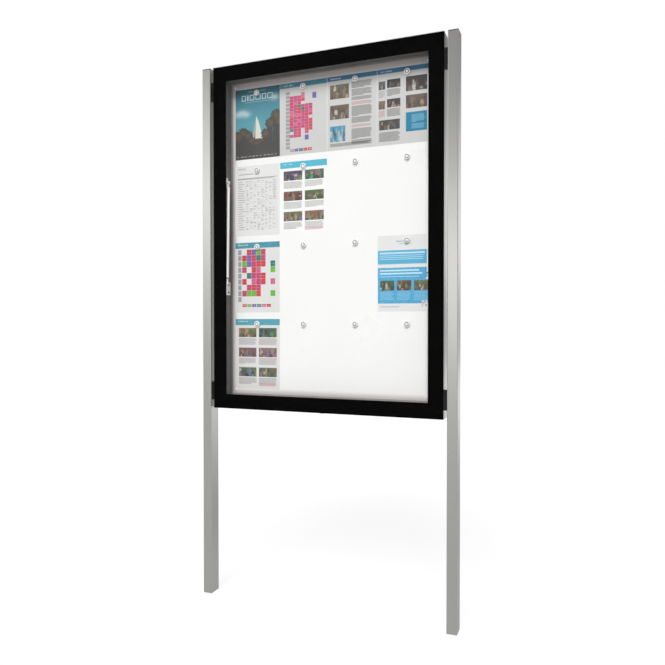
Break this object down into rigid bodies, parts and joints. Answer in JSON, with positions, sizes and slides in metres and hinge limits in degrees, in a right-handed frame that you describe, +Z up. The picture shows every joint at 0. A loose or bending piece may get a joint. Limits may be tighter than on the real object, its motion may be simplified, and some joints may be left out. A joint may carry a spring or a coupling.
{
  "type": "lockable notice board",
  "caption": "Outdoor display case between rectangular posts: a black-bordered glass door lifts on a top hinge and gas struts over a magnetic panel, with a cam lock.",
  "frame": {"origin": "bottom centre of the bounding box, on the ground between the two posts", "axes": "+Z up along the posts, -Y towards the reader in front of the glass, +X to the reader's right"},
  "size_m": [1.091, 0.07, 2.2465],
  "materials": {
    "satin_aluminium": "satin anodised",
    "mill_aluminium": "plain rolled",
    "black_plastic": "moulded, matt",
    "white_enamel": "semi-gloss enamel on steel",
    "white_plastic": "smooth",
    "stainless_steel": "brushed",
    "strut_enamel": "light grey lacquer",
    "chromed_rod": "ground and chromed",
    "grey_plastic": "moulded",
    "clear_glass": "clear, toughened",
    "black_print": "glossy ceramic print behind glass",
    "black_rubber": "matt",
    "lock_chrome": "polished",
    "notice_paper": "printed office paper"
  },
  "bodies": {
    "frame": {"post_left": "satin_aluminium", "post_right": "satin_aluminium", "post_cap_left": "black_plastic", "post_cap_right": "black_plastic", "spacer_upper_left": "black_plastic", "spacer_upper_right": "black_plastic", "spacer_lower_left": "black_plastic", "spacer_lower_right": "black_plastic", "case_rail_top": "satin_aluminium", "case_rail_bottom": "satin_aluminium", "case_stile_left": "satin_aluminium", "case_stile_right": "satin_aluminium", "display_panel": "white_enamel", "rear_sheet": "mill_aluminium", "hinge_leaf_case": "stainless_steel", "hinge_pin": "stainless_steel", "strut_bracket_case_left": "stainless_steel", "strut_bracket_case_right": "stainless_steel", "magnet_row1_column1": "white_plastic", "magnet_row1_column2": "white_plastic", "magnet_row1_column3": "white_plastic", "magnet_row1_column4": "white_plastic", "magnet_row2_column1": "white_plastic", "magnet_row2_column2": "white_plastic", "magnet_row2_column3": "white_plastic", "magnet_row2_column4": "white_plastic", "magnet_row3_column1": "white_plastic", "magnet_row3_column2": "white_plastic", "magnet_row3_column3": "white_plastic", "magnet_row3_column4": "white_plastic", "magnet_row4_column1": "white_plastic", "magnet_row4_column2": "white_plastic", "magnet_row4_column3": "white_plastic", "magnet_row4_column4": "white_plastic"},
    "door": {"door_glass": "clear_glass", "glass_border": "black_print", "door_rail_top": "satin_aluminium", "door_rail_bottom": "satin_aluminium", "door_stile_left": "satin_aluminium", "door_stile_right": "satin_aluminium", "door_gasket": "black_rubber", "door_cleat_upper_left": "mill_aluminium", "door_cleat_upper_right": "mill_aluminium", "door_cleat_lower_right": "mill_aluminium", "door_cleat_lower_left": "mill_aluminium", "hinge_leaf_door": "stainless_steel", "strut_bracket_door_left": "stainless_steel", "strut_bracket_door_right": "stainless_steel", "lock_body": "lock_chrome"},
    "lock": {"lock_plug": "lock_chrome", "lock_cam": "stainless_steel"},
    "strut_rod_left": {"strut_rod_left": "chromed_rod", "strut_socket_lower_left": "grey_plastic"},
    "strut_rod_right": {"strut_rod_right": "chromed_rod", "strut_socket_lower_right": "grey_plastic"},
    "strut_cylinder_left": {"strut_cylinder_left": "strut_enamel", "strut_socket_upper_left": "grey_plastic"},
    "strut_cylinder_right": {"strut_cylinder_right": "strut_enamel", "strut_socket_upper_right": "grey_plastic"}
  },
  "joints": [
    {"name": "door_lift", "type": "hinge", "parent": "frame", "child": "door", "pos_m": [0, -0.008, 2.2435], "axis": [-1, 0, 0], "range_deg": [0, 55]},
    {"name": "lock_turn", "type": "hinge", "parent": "door", "child": "lock", "pos_m": [0, -0.0196, 0.8], "axis": [0, 0, 1], "range_deg": [0, 90]},
    {"name": "strut_swing_left", "type": "hinge", "parent": "frame", "child": "strut_rod_left", "pos_m": [-0.4319, -0.022, 1.328], "axis": [1, 0, 0], "range_deg": [0, 32.7]},
    {"name": "strut_swing_right", "type": "hinge", "parent": "frame", "child": "strut_rod_right", "pos_m": [0.4319, -0.022, 1.328], "axis": [1, 0, 0], "range_deg": [0, 32.7]},
    {"name": "strut_extend_left", "type": "slide", "parent": "strut_rod_left", "child": "strut_cylinder_left", "axis": [0, 0.0255, 0.9997], "range_m": [0, 0.3185]},
    {"name": "strut_extend_right", "type": "slide", "parent": "strut_rod_right", "child": "strut_cylinder_right", "axis": [0, 0.0255, 0.9997], "range_m": [0, 0.3185]}
  ],
  "couplings": [
    {"joint": "strut_swing_left", "follows": "door_lift", "ratio": 0.59436},
    {"joint": "strut_swing_right", "follows": "door_lift", "ratio": 0.59436},
    {"joint": "strut_extend_left", "follows": "door_lift", "m_per_rad": 0.33177},
    {"joint": "strut_extend_right", "follows": "door_lift", "m_per_rad": 0.33177}
  ]
}
